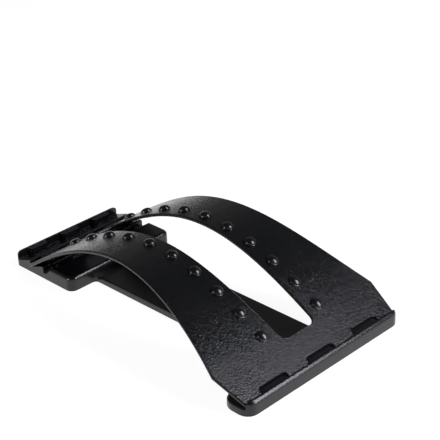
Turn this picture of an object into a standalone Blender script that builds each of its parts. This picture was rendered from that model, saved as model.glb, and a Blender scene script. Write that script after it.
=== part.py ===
# Lumbar back stretcher: a springy arched board with two rows of massage studs.
# The board is bowed between a lip at the near end of a moulded base and one of
# three stepped grooves at its far end. Metres, +Z up, +Y from the lip towards
# the grooves. The origin is on the floor under the middle of the base.

import math

import bmesh
import bpy
from mathutils import Matrix, Vector

# Base moulding
baseLength = 0.3765
rimBottom = 0.0005           # the rim stands this far off the floor, on the pads
nearBarWidth = 0.2155
nearBarDepth = 0.036
nearFrontRadius = 0.0115
nearBackRadius = 0.0155
lipThickness = 0.0054
lipTop = 0.0155
lipOuterRound = 0.0045
lipInnerRound = 0.0018
seatHeight = 0.0085          # top of the near bar, where the board's near end sits
seatEdgeRound = 0.003
farBoxWidth = 0.1405
farBoxDepth = 0.092
farBoxTop = 0.0165
farBoxNearRadius = 0.008
farBoxFarRadius = 0.0065
farBoxEdgeRound = 0.0044
farWallThickness = 0.0045
plankWidth = 0.0742
plankTop = 0.007
plankEdgeRound = 0.0018
plankFillet = 0.0045         # where the plank flares into both ends
plankOverlap = 0.004         # how far it runs on inside them
cutterReach = 0.01           # how far a cutter runs past the faces it cuts

# Height setting: sawtooth grooves with an upright face towards the far end
grooveCount = 3
groovePitch = 0.0213
grooveInUse = 1              # counted from the far wall, 0 being the lowest arch
grooveBottom = 0.0072
grooveFloor = 0.0012         # flat at the foot of each upright face
ridgeTop = 0.0134
ridgeCrest = 0.003
ridgeRound = 0.001
deckGrooveFloor = 0.0042     # the groove next to the deck has a wider flat
deckRampLength = 0.0102      # and a steeper ramp up to the deck
deckEdgeRound = 0.0015

# Keys stand on each seat's upright face and sit in the board's notches
keyReach = 0.006
nearKeyDrop = 0.003          # the keys stop this far below the lip's top
farKeyDrop = 0.0012          # and below the top of the far wall or ridge they stand on
keySink = 0.0012             # how far a key runs into what carries it
keyTaper = 0.0008            # how much narrower each side is at the tip
keyCornerRadius = 0.003
nearKeyWidth = 0.034
nearKeySpacing = 0.064
farKeyWidth = 0.024
farKeySpacing = 0.044
notchDepth = 0.0076          # lets the board tip up past the keys
notchSideGap = 0.0008
notchCornerRadius = 0.003

# Board
boardThickness = 0.0035
boardEdgeChamfer = 0.0009
lipGap = 0.0010              # between the board's near end and the lip
boardEndGap = 0.0004         # between the board's ends and what they stand on
boardRise = 0.0654           # height of the bow over its two ends
boardLean = -0.0035          # shifts the crown towards the far end
boardFacets = 46             # the board is straight in its notched ends
nearEndHalfWidth = 0.1047
shoulderHalfWidth = 0.1117
shoulderAt = 0.038           # along the board from its near end
waistHalfWidth = 0.0794
waistAt = 0.250
farEndHalfWidth = 0.0735
slotEndMargin = 0.0333       # solid board between each end and the slot
slotMiddleHalfWidth = 0.0253
slotEndHalfWidth = 0.0222
slotCornerRadius = 0.0075

# Massage studs, pushed through the board
studsPerRow = 10
studRowOffset = 0.0383
firstStudAt = 0.0475
studPitch = 0.031
studDomeRadius = 0.0058
studDomeHeight = 0.0031
studFlangeRadius = 0.0068
studFlangeThickness = 0.0009
studStemRadius = 0.0022
studBarbRadius = 0.0031
studTipRadius = 0.0016
studBarbLength = 0.0026
studGap = 0.0003
studSides = 14

# Underside: a skin on a grid of ribs, and four rubber pads in round seats
skinThickness = 0.0025
rimThickness = 0.003
ribThickness = 0.002
nearPocketColumns = 7
farPocketColumns = 5
farPocketRows = 3
plankPocketColumns = 2
plankPocketRows = 7
padRadius = 0.0095
padSeatGap = 0.0004
padSeatDepth = 0.0015
padTopGap = 0.0003
padEdgeRound = 0.0006

# Places worked out from the sizes above
nearEdge = -baseLength / 2
farEdge = baseLength / 2
nearBarBack = nearEdge + nearBarDepth
farBoxNear = farEdge - farBoxDepth
lipFace = nearEdge + lipThickness
farWallFace = farEdge - farWallThickness
halfBoard = boardThickness / 2
rampLength = groovePitch - grooveFloor - ridgeCrest
rampAngle = math.atan2(ridgeTop - grooveBottom, rampLength)


def seatFaces():
    # Upright faces of the far grooves, from the far wall inwards
    return [farWallFace - k * groovePitch for k in range(grooveCount)]


def grooveSeatHeight():
    # Height of the board's end when it stands clear of the upright face and of the ramp
    reach = boardEndGap + halfBoard
    under = grooveBottom + max(reach - grooveFloor, 0) * math.tan(rampAngle)
    return under + reach / math.cos(rampAngle)


# The bow of the board, along the middle of its thickness

bowStart = lipFace + lipGap + halfBoard
bowEnd = seatFaces()[grooveInUse] - boardEndGap - halfBoard
nearSeatCentre = seatHeight + boardEndGap + halfBoard
farSeatCentre = grooveSeatHeight()


def bowHeight(y):
    t = (y - bowStart) / (bowEnd - bowStart)
    rise = boardRise * math.sin(math.pi * t) + boardLean * math.sin(2 * math.pi * t)
    return nearSeatCentre + (farSeatCentre - nearSeatCentre) * t + rise


def bowTable(steps=720):
    # Running length along the bow against y, for its middle surface
    table = [(0.0, bowStart)]
    length = 0.0
    before = (bowStart, bowHeight(bowStart))
    for i in range(1, steps + 1):
        y = bowStart + (bowEnd - bowStart) * i / steps
        here = (y, bowHeight(y))
        length += math.dist(before, here)
        table.append((length, y))
        before = here
    return table


bowLengths = bowTable()
bowLength = bowLengths[-1][0]
boardLength = bowLength + 2 * halfBoard


def bowFrame(along):
    # Point, direction and outward normal of the bow at a length along the board.
    # The board's square ends reach half its thickness past the bow's own ends.
    s = along - halfBoard
    inside = min(max(s, 0.0), bowLength)
    i = min(int(inside / bowLength * (len(bowLengths) - 1)), len(bowLengths) - 2)
    while i > 0 and bowLengths[i][0] > inside:
        i -= 1
    while i < len(bowLengths) - 2 and bowLengths[i + 1][0] < inside:
        i += 1
    (s0, y0), (s1, y1) = bowLengths[i], bowLengths[i + 1]
    y = y0 + (y1 - y0) * (inside - s0) / (s1 - s0)
    step = (bowEnd - bowStart) * 1e-4
    slope = (bowHeight(y + step) - bowHeight(y - step)) / (2 * step)
    direction = Vector((0, 1, slope)).normalized()
    normal = Vector((0, -direction.z, direction.y))
    point = Vector((0, y, bowHeight(y))) + direction * (s - inside)
    return point, direction, normal


# Small helpers for Blender

def clearScene():
    for thing in list(bpy.data.objects):
        bpy.data.objects.remove(thing, do_unlink=True)


def newCollection(name):
    collection = bpy.data.collections.new(name)
    bpy.context.scene.collection.children.link(collection)
    return collection


def newMaterial(name, colour, roughness, metallic=0.0):
    material = bpy.data.materials.new(name)
    material.use_nodes = True
    shader = material.node_tree.nodes["Principled BSDF"]
    shader.inputs["Base Color"].default_value = (*colour, 1.0)
    shader.inputs["Roughness"].default_value = roughness
    shader.inputs["Metallic"].default_value = metallic
    return material


def meshObject(name, bm, collection):
    mesh = bpy.data.meshes.new(name)
    bm.to_mesh(mesh)
    bm.free()
    thing = bpy.data.objects.new(name, mesh)
    collection.objects.link(thing)
    return thing


def arc(centre, radius, startDegrees, endDegrees, steps):
    points = []
    for i in range(steps + 1):
        a = math.radians(startDegrees + (endDegrees - startDegrees) * i / steps)
        points.append((centre[0] + radius * math.cos(a), centre[1] + radius * math.sin(a)))
    return points


def outlineSolid(name, outlines, thickness, collection, chamfer=0.0):
    # Closed flat outlines filled and given a thickness, centred on z = 0
    curve = bpy.data.curves.new(name, "CURVE")
    curve.dimensions = "2D"
    curve.fill_mode = "BOTH"
    curve.extrude = thickness / 2 - chamfer
    curve.bevel_depth = chamfer
    curve.bevel_resolution = 0
    curve.offset = -chamfer
    for outline in outlines:
        spline = curve.splines.new("POLY")
        spline.points.add(len(outline) - 1)
        for point, (x, y) in zip(spline.points, outline):
            point.co = (x, y, 0, 1)
        spline.use_cyclic_u = True
    drawn = bpy.data.objects.new(name, curve)
    collection.objects.link(drawn)
    bpy.context.view_layer.update()
    graph = bpy.context.evaluated_depsgraph_get()
    mesh = bpy.data.meshes.new_from_object(drawn.evaluated_get(graph))
    bpy.data.objects.remove(drawn, do_unlink=True)
    bm = bmesh.new()
    bm.from_mesh(mesh)
    bpy.data.meshes.remove(mesh)
    bmesh.ops.remove_doubles(bm, verts=bm.verts, dist=1e-6)
    bmesh.ops.dissolve_degenerate(bm, dist=1e-6, edges=bm.edges)
    bmesh.ops.recalc_face_normals(bm, faces=bm.faces)
    return meshObject(name, bm, collection)


def transformMesh(thing, matrix):
    thing.data.transform(matrix)
    if matrix.determinant() < 0:
        thing.data.flip_normals()


def boxMesh(name, low, high, collection):
    bm = bmesh.new()
    bmesh.ops.create_cube(bm, size=1.0)
    size = Vector(high) - Vector(low)
    bmesh.ops.scale(bm, vec=size, verts=bm.verts)
    bmesh.ops.translate(bm, vec=(Vector(high) + Vector(low)) / 2, verts=bm.verts)
    return meshObject(name, bm, collection)


def discMesh(name, centre, radius, low, high, sides, collection):
    bm = bmesh.new()
    bmesh.ops.create_cone(
        bm, cap_ends=True, segments=sides, radius1=radius, radius2=radius, depth=high - low
    )
    bmesh.ops.translate(bm, vec=(centre[0], centre[1], (low + high) / 2), verts=bm.verts)
    return meshObject(name, bm, collection)


def combine(thing, tool, operation):
    # Applies one Boolean and puts the tool away
    step = thing.modifiers.new(operation.lower(), "BOOLEAN")
    step.operation = operation
    step.solver = "EXACT"
    step.object = tool
    bpy.context.view_layer.update()
    graph = bpy.context.evaluated_depsgraph_get()
    result = bpy.data.meshes.new_from_object(thing.evaluated_get(graph))
    thing.modifiers.clear()
    thing.data = result
    bpy.data.objects.remove(tool, do_unlink=True)


def joinTools(tools, name, collection):
    # Cutters that stand clear of each other work as one mesh
    bm = bmesh.new()
    for tool in tools:
        bm.from_mesh(tool.data)
        bpy.data.objects.remove(tool, do_unlink=True)
    return meshObject(name, bm, collection)


def finish(thing, material, smoothDegrees=35):
    thing.data.materials.clear()
    thing.data.materials.append(material)
    thing.data.shade_smooth()
    thing.data.set_sharp_from_angle(angle=math.radians(smoothDegrees))


# Base moulding

def alongX(name, profile, halfWidth, collection):
    # A side-view profile of (y, z) points drawn out across the width
    solid = outlineSolid(name, [profile], 2 * halfWidth, collection)
    transformMesh(solid, Matrix(((0, 0, 1, 0), (1, 0, 0, 0), (0, 1, 0, 0), (0, 0, 0, 1))))
    return solid


def plan(name, outline, low, high, collection):
    # A plan outline of (x, y) points standing between two heights
    solid = outlineSolid(name, [outline], high - low, collection)
    transformMesh(solid, Matrix.Translation((0, 0, (low + high) / 2)))
    return solid


def roundedPlan(name, outline, low, high, radius, segments, collection):
    # The same, with its top edge rounded all the way round
    solid = plan(name, outline, low, high, collection)
    bm = bmesh.new()
    bm.from_mesh(solid.data)
    rim = [
        edge
        for edge in bm.edges
        if all(vertex.co.z > high - 1e-6 for vertex in edge.verts)
        and any(abs(face.normal.z) < 0.5 for face in edge.link_faces)
    ]
    bmesh.ops.bevel(
        bm, geom=rim, offset=radius, segments=segments, profile=0.5, affect="EDGES"
    )
    bm.to_mesh(solid.data)
    bm.free()
    return solid


def boxOutline(halfWidth, near, far, nearRadius, farRadius, steps=5):
    return (
        arc((halfWidth - nearRadius, near + nearRadius), nearRadius, -90, 0, steps)
        + arc((halfWidth - farRadius, far - farRadius), farRadius, 0, 90, steps)
        + arc((-halfWidth + farRadius, far - farRadius), farRadius, 90, 180, steps)
        + arc((-halfWidth + nearRadius, near + nearRadius), nearRadius, 180, 270, steps)
    )


def lipProfile():
    # Side view of all that stands in front of the lip's inner face
    front = nearEdge - cutterReach
    return (
        [(front, rimBottom), (lipFace, rimBottom)]
        + arc((lipFace - lipInnerRound, lipTop - lipInnerRound), lipInnerRound, 0, 90, 3)
        + [(front, lipTop)]
    )


def grooveProfile():
    # Side view of what is cut out of the far box: an upright face, floor and ramp for each groove
    top = farBoxTop + cutterReach
    inner = farWallFace + ridgeRound
    points = [(inner, top)]
    points += arc((inner, farBoxTop - ridgeRound), ridgeRound, 90, 180, 2)
    faces = seatFaces()
    for face in faces:
        if face != faces[0]:
            points += arc((face + ridgeRound, ridgeTop - ridgeRound), ridgeRound, 90, 180, 2)
        points.append((face, grooveBottom))
        if face != faces[-1]:
            points.append((face - grooveFloor, grooveBottom))
            points.append((face - grooveFloor - rampLength, ridgeTop))
    foot = faces[-1] - deckGrooveFloor
    points.append((foot, grooveBottom))
    slope = math.degrees(math.atan2(farBoxTop - grooveBottom, deckRampLength))
    setback = deckEdgeRound * math.tan(math.radians(slope / 2))
    centre = (foot - deckRampLength - setback, farBoxTop - deckEdgeRound)
    points += arc(centre, deckEdgeRound, 90 - slope, 90, 3)
    points.append((centre[0], top))
    return points


def plankOutline(steps=4):
    # Straight plank that flares with a fillet into each end of the base
    half = plankWidth / 2
    flare = half + plankFillet
    right = (
        [(flare, nearBarBack - plankOverlap)]
        + arc((flare, nearBarBack + plankFillet), plankFillet, 270, 180, steps)
        + arc((flare, farBoxNear - plankFillet), plankFillet, 180, 90, steps)
        + [(flare, farBoxNear + plankOverlap)]
    )
    left = [(-x, y) for x, y in reversed(right)]
    return right + left


def keySolid(x, face, width, top, foot, collection):
    # Rounded key on a seat's upright face: it reaches towards +Y from the lip
    # and towards -Y from a ridge
    towards = 1 if face < 0 else -1
    half = width / 2
    r = keyCornerRadius
    corner = arc((half - keyTaper - r, keyReach - r), r, 0, 90, 3)
    right = [(half, -keySink), (half, 0)] + corner
    side = right + [(-dx, dy) for dx, dy in reversed(right)]
    outline = [(x + dx, face + towards * dy) for dx, dy in side]
    return plan("key", outline, foot - keySink, top, collection)


def allKeys(collection):
    keys = []
    for i in (-1, 0, 1):
        x = i * nearKeySpacing
        top = lipTop - nearKeyDrop
        keys.append(keySolid(x, lipFace, nearKeyWidth, top, seatHeight, collection))
        for face in seatFaces():
            x = i * farKeySpacing
            top = (farBoxTop if face == farWallFace else ridgeTop) - farKeyDrop
            keys.append(keySolid(x, face, farKeyWidth, top, grooveBottom, collection))
    return keys


def padPlaces():
    nearColumn = pocketCentres(nearBarWidth - 2 * rimThickness, nearPocketColumns)[-1]
    farColumn = pocketCentres(farBoxWidth - 2 * rimThickness, farPocketColumns)[-1]
    farRow = pocketCentres(farBoxDepth - 2 * rimThickness, farPocketRows)[-1]
    nearY = (nearEdge + nearBarBack) / 2
    farY = (farEdge + farBoxNear) / 2 + farRow
    return {
        "rubber_pad_near_left": (-nearColumn, nearY),
        "rubber_pad_near_right": (nearColumn, nearY),
        "rubber_pad_far_left": (-farColumn, farY),
        "rubber_pad_far_right": (farColumn, farY),
    }


def pocketCentres(span, count):
    pitch = (span + ribThickness) / count
    return [(-(count - 1) / 2 + i) * pitch for i in range(count)]


def pocketGrid(centre, span, count, ceilings, skip, collection):
    # Pockets between ribs, open below; ceilings holds one height for each row
    pockets = []
    size = [(span[i] + ribThickness) / count[i] - ribThickness for i in (0, 1)]
    for column, dx in enumerate(pocketCentres(span[0], count[0])):
        for row, dy in enumerate(pocketCentres(span[1], count[1])):
            if (column, row) in skip:
                continue
            x = centre[0] + dx
            y = centre[1] + dy
            low = (x - size[0] / 2, y - size[1] / 2, -rimBottom)
            high = (x + size[0] / 2, y + size[1] / 2, ceilings[row])
            pockets.append(boxMesh("pocket", low, high, collection))
    return pockets


def allPockets(collection):
    pockets = pocketGrid(
        (0, (nearEdge + nearBarBack) / 2),
        (nearBarWidth - 2 * rimThickness, nearBarDepth - 2 * rimThickness),
        (nearPocketColumns, 1),
        [seatHeight - skinThickness],
        [(0, 0), (nearPocketColumns - 1, 0)],
        collection,
    )
    pockets += pocketGrid(
        (0, (farEdge + farBoxNear) / 2),
        (farBoxWidth - 2 * rimThickness, farBoxDepth - 2 * rimThickness),
        (farPocketColumns, farPocketRows),
        [ridgeTop - skinThickness] + [grooveBottom - skinThickness] * (farPocketRows - 1),
        [(0, farPocketRows - 1), (farPocketColumns - 1, farPocketRows - 1)],
        collection,
    )
    pockets += pocketGrid(
        (0, (nearBarBack + farBoxNear) / 2),
        (plankWidth - 2 * rimThickness, farBoxNear - nearBarBack - 2 * ribThickness),
        (plankPocketColumns, plankPocketRows),
        [plankTop - skinThickness] * plankPocketRows,
        [],
        collection,
    )
    return pockets


def buildBase(parts, tools, material):
    nearOutline = boxOutline(
        nearBarWidth / 2, nearEdge, nearBarBack, nearFrontRadius, nearBackRadius
    )
    base = roundedPlan("base_frame", nearOutline, rimBottom, seatHeight, seatEdgeRound, 3, parts)
    lip = roundedPlan("lip", nearOutline, rimBottom, lipTop, lipOuterRound, 4, tools)
    front = alongX("front", lipProfile(), nearBarWidth / 2 + cutterReach, tools)
    combine(lip, front, "INTERSECT")
    combine(base, lip, "UNION")

    plank = roundedPlan("plank", plankOutline(), rimBottom, plankTop, plankEdgeRound, 2, tools)
    combine(base, plank, "UNION")

    farOutline = boxOutline(
        farBoxWidth / 2, farBoxNear, farEdge, farBoxNearRadius, farBoxFarRadius
    )
    box = roundedPlan("box", farOutline, rimBottom, farBoxTop, farBoxEdgeRound, 4, tools)
    grooves = alongX("grooves", grooveProfile(), farBoxWidth / 2 + cutterReach, tools)
    combine(box, grooves, "DIFFERENCE")
    combine(base, box, "UNION")

    combine(base, joinTools(allKeys(tools), "keys", tools), "UNION")
    combine(base, joinTools(allPockets(tools), "pockets", tools), "DIFFERENCE")
    low, high = -cutterReach, rimBottom + padSeatDepth
    seats = [
        discMesh("padSeat", place, padRadius + padSeatGap, low, high, 24, tools)
        for place in padPlaces().values()
    ]
    combine(base, joinTools(seats, "padSeats", tools), "DIFFERENCE")
    finish(base, material)
    return base


def buildPads(parts, material):
    top = rimBottom + padSeatDepth - padTopGap
    for name, place in padPlaces().items():
        pad = discMesh(name, (0, 0), padRadius, 0, top, 24, parts)
        pad.location = (*place, 0)
        bevel = pad.modifiers.new("edge", "BEVEL")
        bevel.width = padEdgeRound
        bevel.segments = 1
        bevel.limit_method = "ANGLE"
        finish(pad, material)


# Board

def boardHalfWidth(s):
    # Shoulder near the lip, a long concave side to the waist, then a gentle taper
    if s <= shoulderAt:
        return nearEndHalfWidth + (shoulderHalfWidth - nearEndHalfWidth) * s / shoulderAt
    if s <= waistAt:
        u = (waistAt - s) / (waistAt - shoulderAt)
        return waistHalfWidth + (shoulderHalfWidth - waistHalfWidth) * u * u
    u = (s - waistAt) / (boardLength - waistAt)
    return waistHalfWidth - (waistHalfWidth - farEndHalfWidth) * (1 - math.cos(math.pi * u)) / 2


def notchPoints(x, width, end, towards):
    # One notch in the board's end line, from low x to high x
    half = width / 2 + notchSideGap
    r = notchCornerRadius
    corner = arc((half - r, notchDepth - r), r, 0, 90, 3)
    right = [(half, 0)] + corner
    side = [(-dx, dy) for dx, dy in right] + list(reversed(right))
    return [(x + dx, end + towards * dy) for dx, dy in side]


def boardOutline():
    # Right side from the near end to the far end, then back along the left side
    sideStops = [shoulderAt * i / 2 for i in range(3)]
    sideStops += [shoulderAt + (waistAt - shoulderAt) * i / 12 for i in range(1, 13)]
    sideStops += [waistAt + (boardLength - waistAt) * i / 5 for i in range(1, 6)]
    right = [(boardHalfWidth(s), s) for s in sideStops]
    left = [(-x, s) for x, s in reversed(right)]
    nearEnd = []
    farEnd = []
    for i in (-1, 0, 1):
        nearEnd += notchPoints(i * nearKeySpacing, nearKeyWidth, 0, 1)
        farEnd += notchPoints(i * farKeySpacing, farKeyWidth, boardLength, -1)
    return nearEnd + right + list(reversed(farEnd)) + left


def slotOutline(steps=12):
    near = slotEndMargin
    far = boardLength - slotEndMargin
    middle = (near + far) / 2
    r = slotCornerRadius

    def half(s):
        u = (s - middle) / (far - middle)
        return slotMiddleHalfWidth - (slotMiddleHalfWidth - slotEndHalfWidth) * u * u

    stops = [near + r + (far - near - 2 * r) * i / steps for i in range(steps + 1)]
    right = [(half(s), s) for s in stops]
    nearCorner = arc((half(near + r) - r, near + r), r, -90, 0, 3)[:-1]
    farCorner = arc((half(far - r) - r, far - r), r, 0, 90, 3)[1:]
    right = nearCorner + right + farCorner
    return right + [(-x, s) for x, s in reversed(right)]


def studPlaces():
    places = {}
    for k in range(studsPerRow):
        along = firstStudAt + k * studPitch
        places[f"massage_stud_left_{k + 1:02d}"] = (-studRowOffset, along)
        places[f"massage_stud_right_{k + 1:02d}"] = (studRowOffset, along)
    return places


def sliceBoard(board):
    # Edges across the flat board for it to bend at
    first = notchDepth + boardEdgeChamfer * 1.2
    last = boardLength - first
    bm = bmesh.new()
    bm.from_mesh(board.data)
    for i in range(boardFacets + 1):
        bmesh.ops.bisect_plane(
            bm,
            geom=bm.verts[:] + bm.edges[:] + bm.faces[:],
            plane_co=(0, first + (last - first) * i / boardFacets, 0),
            plane_no=(0, 1, 0),
            dist=1e-6,
        )
    bm.to_mesh(board.data)
    bm.free()


def bend(thing):
    # Carries the flat board, laid out along +Y from 0, onto the bow
    for vertex in thing.data.vertices:
        point, direction, normal = bowFrame(vertex.co.y)
        vertex.co = Vector((vertex.co.x, point.y, point.z)) + normal * vertex.co.z
    thing.data.update()


def buildBoard(parts, tools, pivot, material):
    board = outlineSolid(
        "arch_board", [boardOutline(), slotOutline()], boardThickness, parts, boardEdgeChamfer
    )
    sliceBoard(board)
    holes = [
        discMesh("hole", place, studStemRadius + studGap, -cutterReach, cutterReach, 10, tools)
        for place in studPlaces().values()
    ]
    combine(board, joinTools(holes, "holes", tools), "DIFFERENCE")
    bend(board)
    transformMesh(board, Matrix.Translation(-pivot.location))
    board.parent = pivot
    finish(board, material)


# Massage studs

def studProfile():
    # Outer side from the top of the dome down to the tip of the barb
    flangeTop = studGap + studFlangeThickness
    under = -boardThickness - studGap
    dome = [
        (studDomeRadius * math.sin(math.radians(a)), flangeTop + studDomeHeight * math.cos(math.radians(a)))
        for a in (0, 30, 58, 82)
    ]
    return dome + [
        (studFlangeRadius - studFlangeThickness * 0.6, flangeTop),
        (studFlangeRadius, studGap + studFlangeThickness * 0.3),
        (studFlangeRadius, studGap),
        (studStemRadius, studGap),
        (studStemRadius, under),
        (studBarbRadius, under),
        (studTipRadius, under - studBarbLength),
        (0, under - studBarbLength),
    ]


def studMesh():
    # The profile turned about Z with a Screw modifier
    bm = bmesh.new()
    before = None
    for r, z in studProfile():
        vertex = bm.verts.new((r, 0, z))
        if before:
            bm.edges.new((before, vertex))
        before = vertex
    drawn = meshObject("studProfile", bm, bpy.context.scene.collection)
    turn = drawn.modifiers.new("turn", "SCREW")
    turn.axis = "Z"
    turn.steps = studSides
    turn.render_steps = studSides
    turn.use_merge_vertices = True
    turn.merge_threshold = 1e-5
    bpy.context.view_layer.update()
    graph = bpy.context.evaluated_depsgraph_get()
    mesh = bpy.data.meshes.new_from_object(drawn.evaluated_get(graph))
    bpy.data.objects.remove(drawn, do_unlink=True)
    return mesh


def buildStuds(parts, pivot, material):
    shared = studMesh()
    shared.name = "massageStud"
    for name, (x, along) in studPlaces().items():
        point, direction, normal = bowFrame(along)
        stud = bpy.data.objects.new(name, shared)
        parts.objects.link(stud)
        tilt = math.atan2(direction.z, direction.y)
        surface = Vector((x, point.y, point.z)) + normal * halfBoard
        stud.rotation_euler = (tilt, 0, 0)
        stud.location = surface - pivot.location
        stud.parent = pivot
        finish(stud, material, 50)


def main():
    clearScene()
    parts = newCollection("lumbar_back_stretcher")
    tools = newCollection("cutters")
    grained = newMaterial("grained black plastic", (0.022, 0.022, 0.024), 0.48)
    glossy = newMaterial("polished black plastic", (0.012, 0.012, 0.013), 0.18)
    rubber = newMaterial("black rubber", (0.020, 0.020, 0.020), 0.80)

    pivot = bpy.data.objects.new("board_pivot", None)
    pivot.location = (0, bowStart, nearSeatCentre)
    bpy.context.scene.collection.objects.link(pivot)

    buildBase(parts, tools, grained)
    buildPads(parts, rubber)
    buildBoard(parts, tools, pivot, grained)
    buildStuds(parts, pivot, glossy)
    bpy.context.view_layer.update()
    print("pivot at y", round(bowStart, 6), "z", round(nearSeatCentre, 6))
    print("board length", round(boardLength, 4), "far seat height", round(farSeatCentre, 5))


main()
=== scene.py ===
import math
import bpy
import numpy as np
from mathutils import Matrix, Vector


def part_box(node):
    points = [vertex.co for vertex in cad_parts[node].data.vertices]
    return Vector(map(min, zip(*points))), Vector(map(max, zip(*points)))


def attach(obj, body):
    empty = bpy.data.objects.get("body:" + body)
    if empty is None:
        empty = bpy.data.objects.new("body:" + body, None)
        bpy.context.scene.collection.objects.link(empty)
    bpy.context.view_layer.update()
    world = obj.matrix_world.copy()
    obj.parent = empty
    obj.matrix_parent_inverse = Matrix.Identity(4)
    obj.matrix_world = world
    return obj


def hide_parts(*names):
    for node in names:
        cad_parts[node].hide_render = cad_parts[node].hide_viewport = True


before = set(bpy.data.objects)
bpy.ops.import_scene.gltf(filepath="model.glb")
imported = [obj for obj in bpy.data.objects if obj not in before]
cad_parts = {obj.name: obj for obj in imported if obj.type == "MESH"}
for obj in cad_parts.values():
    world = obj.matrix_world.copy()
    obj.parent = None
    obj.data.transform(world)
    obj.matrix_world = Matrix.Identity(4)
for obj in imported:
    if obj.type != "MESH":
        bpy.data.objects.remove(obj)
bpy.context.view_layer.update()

bpy.ops.object.select_all(action="DESELECT")
mm = 0.001


# Helpers for materials and objects

def hexToLinear(code):
    # sRGB hex such as "1c1d1f" to the linear values Blender wants
    values = []
    for i in (0, 2, 4):
        c = int(code[i:i + 2], 16) / 255
        values.append(c / 12.92 if c <= 0.04045 else ((c + 0.055) / 1.055) ** 2.4)
    return (*values, 1.0)


def addNode(tree, kind, settings=None, links=None, **attributes):
    # settings go on input sockets, links join (node, output) to an input
    node = tree.nodes.new(kind)
    for key, value in attributes.items():
        setattr(node, key, value)
    for key, value in (settings or {}).items():
        node.inputs[key].default_value = value
    for key, (source, output) in (links or {}).items():
        tree.links.new(source.outputs[output], node.inputs[key])
    return node


def newMaterial(name, shaderSettings):
    material = bpy.data.materials.new(name)
    material.use_nodes = True
    shader = material.node_tree.nodes["Principled BSDF"]
    for key, value in shaderSettings.items():
        shader.inputs[key].default_value = value
    return material, material.node_tree, shader


def pickOnly(thing):
    bpy.ops.object.select_all(action="DESELECT")
    thing.select_set(True)
    bpy.context.view_layer.objects.active = thing


def editAll(thing):
    pickOnly(thing)
    bpy.ops.object.mode_set(mode="EDIT")
    bpy.ops.mesh.select_all(action="SELECT")


def dress(piece, material, body, node):
    # Gives a finished piece its material, and takes the CAD node's place with it
    piece.data.materials.clear()
    piece.data.materials.append(material)
    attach(piece, body)
    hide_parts(node)


# Camera

camera = {
    "place": (-0.798954, -0.859008, 0.706604),
    "turn": -44.728,    # degrees, as the next two are
    "down": 27.774,
    "roll": -2.005,
    "lens": 110.37,     # mm, on a sensor of the next width
    "sensor": 36,
    "nearest": 0.05,    # metres; nothing closer than this is drawn
}
cameraData = bpy.data.cameras.new("camera")
cameraData.lens = camera["lens"]
cameraData.sensor_width = camera["sensor"]
cameraData.clip_start = camera["nearest"]
cameraObject = bpy.data.objects.new("camera", cameraData)
cameraObject.matrix_world = (
    Matrix.Translation(camera["place"])
    @ Matrix.Rotation(math.radians(camera["turn"]), 4, "Z")
    @ Matrix.Rotation(math.radians(90 - camera["down"]), 4, "X")
    @ Matrix.Rotation(math.radians(camera["roll"]), 4, "Z")
)
bpy.context.collection.objects.link(cameraObject)
bpy.context.scene.camera = cameraObject
bpy.context.scene.view_settings.view_transform = "Standard"
print("camera placed")


# Studio

studio = {
    "floorSize": 30,
    "paper": "f4f4f4",
    "shadowShare": 0.18,     # how much of the paper's own light and shade the camera sees
    "paperGlow": 0.94,       # the rest of its white
    "paperFadesFrom": 1.45,  # metres from the object
    "paperFadesTo": 2.1,
    "farPaperGlow": 0.12,    # what is left of the glow beyond that
    "horizonLight": 0.24,
    "zenithLight": 0.04,
    "horizonTop": 0.95,      # sine of the elevation where the pale wall has faded
    "aim": (0, -0.04, 0.04),
}
softboxes = {    # way is from the aim to the lamp, along is the direction of its width
    # The tall one lights the lip's rounding, and its tail gives the near end a sheen
    "rightSoftbox": {"way": (0.42, -0.74, 0.53), "along": (0.98, -0.20, 0), "away": 1.26,
                     "size": (0.44, 1.36), "power": 23.5, "tint": "f3f3ff"},
    # The low one gives the studs their second highlight
    "leftSoftbox": {"way": (-0.93, 0.30, 0.20), "along": (0.30, 0.93, 0), "away": 1.2,
                    "size": (0.40, 0.32), "power": 6, "tint": "ffffff"},
}


def addSoftbox(name, box):
    # It faces the aim, with its width square to that and as near to along as can be
    data = bpy.data.lights.new(name, "AREA")
    data.shape = "RECTANGLE"
    data.size, data.size_y = box["size"]
    data.energy = box["power"]
    data.color = hexToLinear(box["tint"])[:3]
    lamp = bpy.data.objects.new(name, data)
    back = Vector(box["way"]).normalized()
    side = Vector(box["along"])
    side = (side - back * side.dot(back)).normalized()
    facing = Matrix((side, back.cross(side), back)).transposed().to_4x4()
    lamp.matrix_world = Matrix.Translation(Vector(studio["aim"]) + back * box["away"]) @ facing
    bpy.context.collection.objects.link(lamp)


def seenDirectly(tree):
    # 1 for what the camera sees, straight or in a gloss or through glass
    path = addNode(tree, "ShaderNodeLightPath")
    straight = addNode(tree, "ShaderNodeMath", operation="MAXIMUM",
                       links={0: (path, "Is Camera Ray"), 1: (path, "Is Glossy Ray")})
    return addNode(tree, "ShaderNodeMath", operation="MAXIMUM",
                   links={0: (straight, 0), 1: (path, "Is Transmission Ray")})


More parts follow.
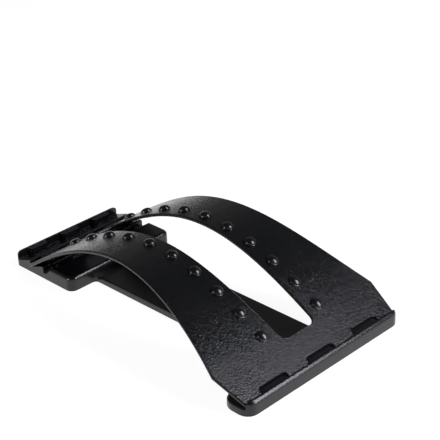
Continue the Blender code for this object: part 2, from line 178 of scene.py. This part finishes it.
def paperFloor():
    # Matt white paper, lifted to white where it is seen, with the object's shadow left in,
    # and darker far off, where only its reflection would show
    material = bpy.data.materials.new("matt white paper")
    material.use_nodes = True
    tree = material.node_tree
    tree.nodes.clear()
    plain = addNode(tree, "ShaderNodeBsdfDiffuse", {"Color": hexToLinear(studio["paper"])})
    share = studio["shadowShare"]
    shaded = addNode(tree, "ShaderNodeBsdfDiffuse", {"Color": (share, share, share, 1)})
    place = addNode(tree, "ShaderNodeTexCoord")
    away = addNode(tree, "ShaderNodeVectorMath", links={0: (place, "Object")}, operation="LENGTH")
    fade = addNode(tree, "ShaderNodeMapRange",
                   {"From Min": studio["paperFadesFrom"], "From Max": studio["paperFadesTo"],
                    "To Min": studio["paperGlow"], "To Max": studio["farPaperGlow"]},
                   {"Value": (away, "Value")}, interpolation_type="SMOOTHSTEP")
    glow = addNode(tree, "ShaderNodeEmission", links={"Strength": (fade, "Result")})
    lifted = addNode(tree, "ShaderNodeAddShader", links={0: (shaded, 0), 1: (glow, 0)})
    mix = addNode(tree, "ShaderNodeMixShader",
                  links={0: (seenDirectly(tree), 0), 1: (plain, 0), 2: (lifted, 0)})
    addNode(tree, "ShaderNodeOutputMaterial", links={"Surface": (mix, 0)})
    return material


def layFloor():
    bpy.ops.mesh.primitive_plane_add(size=studio["floorSize"], location=(0, 0, 0))
    floor = bpy.context.object
    floor.name = "studioFloor"
    floor.data.materials.append(paperFloor())


def paintWalls():
    # A pale wall all round that darkens towards the ceiling
    world = bpy.data.worlds.new("studio walls")
    world.use_nodes = True
    bpy.context.scene.world = world
    tree = world.node_tree
    tree.nodes.clear()
    look = addNode(tree, "ShaderNodeTexCoord")
    axes = addNode(tree, "ShaderNodeSeparateXYZ", links={0: (look, "Generated")})
    light = addNode(tree, "ShaderNodeMapRange",
                    {"From Min": 0.0, "From Max": studio["horizonTop"],
                     "To Min": studio["horizonLight"], "To Max": studio["zenithLight"]},
                    {"Value": (axes, "Z")}, interpolation_type="SMOOTHSTEP")
    walls = addNode(tree, "ShaderNodeBackground", {"Color": (1, 1, 1, 1)},
                    {"Strength": (light, "Result")})
    addNode(tree, "ShaderNodeOutputWorld", links={"Surface": (walls, 0)})


layFloor()
paintWalls()
for name, box in softboxes.items():
    addSoftbox(name, box)
print("studio built")


# Finishes

noiseLow, noiseHigh = 0.3, 0.7    # nearly all of a noise texture lies between these

grain = {
    "colour": "08090a",
    "worn": "101113",        # the mottle's high spots, rubbed a little paler
    "wornFrom": 0.25,        # of the mottle's height
    "wornTo": 0.75,
    "boardPebble": 1.35,     # mm between pebbles, as coarse as it takes to show
    "boardDepth": 0.24,      # mm
    "boardRoughness": 0.20,
    "basePebble": 1.15,
    "baseDepth": 0.12,
    "baseRoughness": 0.18,
    "smoothness": 0.6,       # how softly one pebble runs into the next
    "mottleSize": 2.2,       # pebbles
    "mottleShare": 0.7,      # its height, where the pebbles' is 1
    "handlingSize": 45,      # mm
    "smoother": 0.02,        # what handling takes from the roughness, and adds to it
    "rougher": 0.04,
}


def grainedPolypropylene(name, pebble, depth, roughness):
    # Polypropylene moulded against an etched tool: near-black, satin, covered in fine
    # pebbles whose flanks sparkle where a light grazes them. Pebble and depth are in mm.
    material, tree, shader = newMaterial(name, {"IOR": 1.49})
    place = addNode(tree, "ShaderNodeTexCoord")
    pebbles = addNode(tree, "ShaderNodeTexVoronoi",
                      {"Scale": 1 / (pebble * mm), "Smoothness": grain["smoothness"]},
                      {"Vector": (place, "Object")}, feature="SMOOTH_F1")
    mottle = addNode(tree, "ShaderNodeTexNoise",
                     {"Scale": 1 / (grain["mottleSize"] * pebble * mm), "Detail": 3.0},
                     {"Vector": (place, "Object")})
    height = addNode(tree, "ShaderNodeMath", {1: grain["mottleShare"]},
                     {0: (mottle, 0), 2: (pebbles, "Distance")}, operation="MULTIPLY_ADD")
    bump = addNode(tree, "ShaderNodeBump", {"Strength": 1.0, "Distance": depth * mm},
                   {"Height": (height, 0)})
    tops = addNode(tree, "ShaderNodeMapRange",
                   {"From Min": grain["wornFrom"], "From Max": grain["wornTo"]},
                   {"Value": (mottle, 0)})
    colour = addNode(tree, "ShaderNodeMix",
                     {6: hexToLinear(grain["colour"]), 7: hexToLinear(grain["worn"])},
                     {0: (tops, 0)}, data_type="RGBA")
    handling = addNode(tree, "ShaderNodeTexNoise",
                       {"Scale": 1 / (grain["handlingSize"] * mm), "Detail": 2.0},
                       {"Vector": (place, "Object")})
    sheen = addNode(tree, "ShaderNodeMapRange",
                    {"From Min": noiseLow, "From Max": noiseHigh,
                     "To Min": roughness - grain["smoother"],
                     "To Max": roughness + grain["rougher"]},
                    {"Value": (handling, 0)})
    tree.links.new(colour.outputs[2], shader.inputs["Base Color"])
    tree.links.new(sheen.outputs[0], shader.inputs["Roughness"])
    tree.links.new(bump.outputs[0], shader.inputs["Normal"])
    return material


polish = {
    "colour": "0b0b0d",
    "marks": "131315",       # where hands have been
    "markSize": 1.6,         # mm
    "roughnessFrom": 0.17,
    "roughnessTo": 0.26,
    "ripple": 0.006,         # mm deep, left by the mould
}


def polishedAbs():
    # Black ABS from a polished mould: a hard gloss with faint cloudy marks of handling
    material, tree, shader = newMaterial("polished black ABS", {"IOR": 1.53})
    place = addNode(tree, "ShaderNodeTexCoord")
    marks = addNode(tree, "ShaderNodeTexNoise",
                    {"Scale": 1 / (polish["markSize"] * mm), "Detail": 4.0},
                    {"Vector": (place, "Object")})
    gloss = addNode(tree, "ShaderNodeMapRange",
                    {"From Min": noiseLow, "From Max": noiseHigh,
                     "To Min": polish["roughnessFrom"], "To Max": polish["roughnessTo"]},
                    {"Value": (marks, 0)})
    colour = addNode(tree, "ShaderNodeMix",
                     {6: hexToLinear(polish["colour"]), 7: hexToLinear(polish["marks"])},
                     {0: (marks, 0)}, data_type="RGBA")
    ripple = addNode(tree, "ShaderNodeBump", {"Strength": 1.0, "Distance": polish["ripple"] * mm},
                     {"Height": (marks, 0)})
    tree.links.new(colour.outputs[2], shader.inputs["Base Color"])
    tree.links.new(gloss.outputs[0], shader.inputs["Roughness"])
    tree.links.new(ripple.outputs[0], shader.inputs["Normal"])
    return material


rubber = {
    "colour": "151515",
    "dust": "222120",
    "dustSize": 6,           # mm, as the two below
    "pitSize": 0.5,
    "pitDepth": 0.03,
    "roughnessFrom": 0.72,
    "roughnessTo": 0.9,
}


def mouldedRubber():
    # Black rubber, pressed in a mould: dead matt, a little dusty, with a tight pitted skin
    material, tree, shader = newMaterial("moulded black rubber", {"IOR": 1.52})
    place = addNode(tree, "ShaderNodeTexCoord")
    pits = addNode(tree, "ShaderNodeTexNoise",
                   {"Scale": 1 / (rubber["pitSize"] * mm), "Detail": 3.0},
                   {"Vector": (place, "Object")})
    dust = addNode(tree, "ShaderNodeTexNoise",
                   {"Scale": 1 / (rubber["dustSize"] * mm), "Detail": 4.0},
                   {"Vector": (place, "Object")})
    colour = addNode(tree, "ShaderNodeMix",
                     {6: hexToLinear(rubber["colour"]), 7: hexToLinear(rubber["dust"])},
                     {0: (dust, 0)}, data_type="RGBA")
    matt = addNode(tree, "ShaderNodeMapRange",
                   {"To Min": rubber["roughnessFrom"], "To Max": rubber["roughnessTo"]},
                   {"Value": (dust, 0)})
    bump = addNode(tree, "ShaderNodeBump", {"Strength": 1.0, "Distance": rubber["pitDepth"] * mm},
                   {"Height": (pits, 0)})
    tree.links.new(colour.outputs[2], shader.inputs["Base Color"])
    tree.links.new(matt.outputs[0], shader.inputs["Roughness"])
    tree.links.new(bump.outputs[0], shader.inputs["Normal"])
    return material


boardPlastic = grainedPolypropylene(
    "grained black polypropylene, board",
    grain["boardPebble"], grain["boardDepth"], grain["boardRoughness"]
)
basePlastic = grainedPolypropylene(
    "grained black polypropylene, base",
    grain["basePebble"], grain["baseDepth"], grain["baseRoughness"]
)
studPlastic = polishedAbs()
padRubber = mouldedRubber()
print("finishes made")


# Board and base: the CAD solids with their edges broken

mouldings = {
    "boardEdge": 0.35 * mm,
    "baseEdge": 0.45 * mm,
    "segments": 2,
    "sharperThan": 28,           # degrees; shallower edges are facets of a curve
    "mergeWithin": 0.002 * mm,
    "flatWithin": 0.4,           # degrees between faces that become one
    "sliver": 0.003 * mm,        # what the rounding leaves that is smaller is closed up
    "smoothBelow": 40,           # degrees
    "wideFaceWeight": 100,       # out of 100
}


def copyOfNode(node, name):
    # The same solid with its loose triangles joined up into whole flat faces
    piece = bpy.data.objects.new(name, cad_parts[node].data.copy())
    bpy.context.collection.objects.link(piece)
    editAll(piece)
    bpy.ops.mesh.customdata_custom_splitnormals_clear()
    bpy.ops.mesh.remove_doubles(threshold=mouldings["mergeWithin"])
    bpy.ops.mesh.dissolve_limited(angle_limit=math.radians(mouldings["flatWithin"]))
    bpy.ops.object.mode_set(mode="OBJECT")
    return piece


def breakEdges(piece, width):
    # A moulding has no knife edges: each sharp one is rounded by a hair
    pickOnly(piece)
    bevel = piece.modifiers.new("edges", "BEVEL")
    bevel.width = width
    bevel.segments = mouldings["segments"]
    bevel.limit_method = "ANGLE"
    bevel.angle_limit = math.radians(mouldings["sharperThan"])
    bevel.use_clamp_overlap = True
    bpy.ops.object.modifier_apply(modifier="edges")
    editAll(piece)
    bpy.ops.mesh.remove_doubles(threshold=mouldings["sliver"])
    bpy.ops.mesh.dissolve_degenerate(threshold=mouldings["sliver"])
    bpy.ops.object.mode_set(mode="OBJECT")
    bpy.ops.object.shade_smooth_by_angle(angle=math.radians(mouldings["smoothBelow"]))
    # The wide faces keep their own light, and the narrow roundings turn between them
    weighted = piece.modifiers.new("evenLight", "WEIGHTED_NORMAL")
    weighted.mode = "FACE_AREA"
    weighted.weight = mouldings["wideFaceWeight"]
    weighted.keep_sharp = True
    bpy.ops.object.modifier_apply(modifier="evenLight")


board = copyOfNode("arch_board", "boardMoulding")
breakEdges(board, mouldings["boardEdge"])
dress(board, boardPlastic, "board", "arch_board")

base = copyOfNode("base_frame", "baseMoulding")
breakEdges(base, mouldings["baseEdge"])
dress(base, basePlastic, "base", "base_frame")
print("board and base finished")


# Turned pieces: studs and pads

turning = {
    "mergeWithin": 0.004 * mm,
    "smoothBelow": 38,      # degrees
}


def arc(x, z, radius, angles):
    # Profile points round the middle x, z at these angles, in degrees
    turns = [math.radians(a) for a in angles]
    return [(x + radius * math.cos(t), z + radius * math.sin(t)) for t in turns]


def turned(name, profile, steps):
    # A profile of (radius, height) points, drawn from a speck of a plane that is merged
    # into one point and extruded along it, and then spun about Z
    bpy.ops.object.select_all(action="DESELECT")
    bpy.ops.mesh.primitive_plane_add(size=mm, location=(0, 0, 0))
    piece = bpy.context.object
    piece.name = name
    editAll(piece)
    bpy.ops.mesh.merge(type="CENTER")
    bpy.ops.transform.translate(value=(profile[0][0], 0, profile[0][1]))
    for (r0, z0), (r1, z1) in zip(profile, profile[1:]):
        bpy.ops.mesh.extrude_region_move(TRANSFORM_OT_translate={"value": (r1 - r0, 0, z1 - z0)})
    bpy.ops.mesh.select_all(action="SELECT")
    bpy.ops.mesh.spin(steps=steps, angle=2 * math.pi, center=(0, 0, 0), axis=(0, 0, 1))
    bpy.ops.mesh.select_all(action="SELECT")
    bpy.ops.mesh.remove_doubles(threshold=turning["mergeWithin"])
    bpy.ops.mesh.normals_make_consistent(inside=False)
    bpy.ops.object.mode_set(mode="OBJECT")
    bpy.ops.object.shade_smooth_by_angle(angle=math.radians(turning["smoothBelow"]))
    return piece


def placedCopies(original, places, material, body):
    # One copy, with its own mesh, for each node; places holds each node's matrix
    for node, matrix in places.items():
        copy = bpy.data.objects.new(node + "_finished", original.data.copy())
        copy.data.transform(matrix)
        bpy.context.collection.objects.link(copy)
        dress(copy, material, body, node)
    bpy.data.objects.remove(original, do_unlink=True)


stud = {
    "domeRadius": 5.75 * mm,
    "domeHeight": 3.1 * mm,
    "domeSteps": 10,
    "grooveWidth": 0.35 * mm,    # the groove round the foot of the dome
    "grooveDepth": 0.25 * mm,
    "grooveFloor": (0.1, 0.6),   # where its floor starts and ends, in widths
    "flangeRadius": 6.75 * mm,
    "flangeHeight": 0.85 * mm,
    "stemRadius": 2.15 * mm,
    "stemLength": 4.05 * mm,
    "barbRadius": 3.0 * mm,
    "barbRim": 0.3 * mm,
    "barbLength": 2.5 * mm,
    "tipRadius": 1.5 * mm,
    "steps": 44,
}


def studProfile(s):
    # From the top of the dome, which is at height 0, down to the tip of the barb
    points = []
    for i in range(s["domeSteps"] + 1):
        a = math.radians(90 * i / s["domeSteps"])
        points.append((s["domeRadius"] * math.sin(a), s["domeHeight"] * (math.cos(a) - 1)))
    top = -s["domeHeight"]
    for share in s["grooveFloor"]:
        points.append((s["domeRadius"] + share * s["grooveWidth"], top - s["grooveDepth"]))
    points.append((s["domeRadius"] + s["grooveWidth"], top))
    edge = s["flangeHeight"] / 2
    points += arc(s["flangeRadius"] - edge, top - edge, edge, (60, 30, 0))
    foot = top - s["flangeHeight"]
    under = foot - s["stemLength"]
    return points + [
        (s["flangeRadius"], foot),
        (s["stemRadius"], foot),
        (s["stemRadius"], under),
        (s["barbRadius"], under),
        (s["barbRadius"], under - s["barbRim"]),
        (s["tipRadius"], under - s["barbLength"]),
        (0, under - s["barbLength"]),
    ]


def studPlace(node):
    # Where a CAD stud's dome has its top and which way it stands. A turned solid spreads
    # alike in two directions and not in the third, and the third is its axis. Corners that
    # agree to the micrometre count once.
    points = np.unique(
        np.array([v.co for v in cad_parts[node].data.vertices]).round(6), axis=0
    )
    middle = points.mean(axis=0)
    spreads, directions = np.linalg.eigh(np.cov((points - middle).T))
    odd = 0 if spreads[1] - spreads[0] > spreads[2] - spreads[1] else 2
    axis = directions[:, odd] * (1 if directions[2, odd] > 0 else -1)
    top = middle + axis * ((points - middle) @ axis).max()
    turn = Vector((0, 0, 1)).rotation_difference(Vector(axis))
    return Matrix.Translation(Vector(top)) @ turn.to_matrix().to_4x4()


pad = {
    "radius": 9.5 * mm,
    "edge": 0.6 * mm,
    "grooves": (4.6 * mm, 6.8 * mm),
    "grooveWidth": 0.8 * mm,
    "grooveDepth": 0.4 * mm,
    "steps": 56,
}


def padProfile(p, height):
    # From the middle of the top, round the rim and back across the foot and its grooves,
    # whose floors are half as wide as their mouths
    r, e = p["radius"], p["edge"]
    points = [(0, height), (r - e, height)]
    points += arc(r - e, height - e, e, (60, 30, 0))
    points += arc(r - e, e, e, (0, -30, -60, -90))
    half = p["grooveWidth"] / 2
    for centre in reversed(p["grooves"]):
        points += [(centre + half, 0), (centre + half / 2, p["grooveDepth"]),
                   (centre - half / 2, p["grooveDepth"]), (centre - half, 0)]
    return points + [(0, 0)]


studNodes = sorted(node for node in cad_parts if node.startswith("massage_stud"))
padNodes = sorted(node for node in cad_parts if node.startswith("rubber_pad"))

placedCopies(
    turned("stud", studProfile(stud), stud["steps"]),
    {node: studPlace(node) for node in studNodes}, studPlastic, "board"
)
print("studs finished", len(studNodes))

padLow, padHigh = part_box(padNodes[0])
padPlaces = {}
for node in padNodes:
    low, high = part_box(node)
    padPlaces[node] = Matrix.Translation(((low.x + high.x) / 2, (low.y + high.y) / 2, low.z))
placedCopies(
    turned("pad", padProfile(pad, padHigh.z - padLow.z), pad["steps"]),
    padPlaces, padRubber, "base"
)
print("pads finished", len(padNodes))


print("scene built")
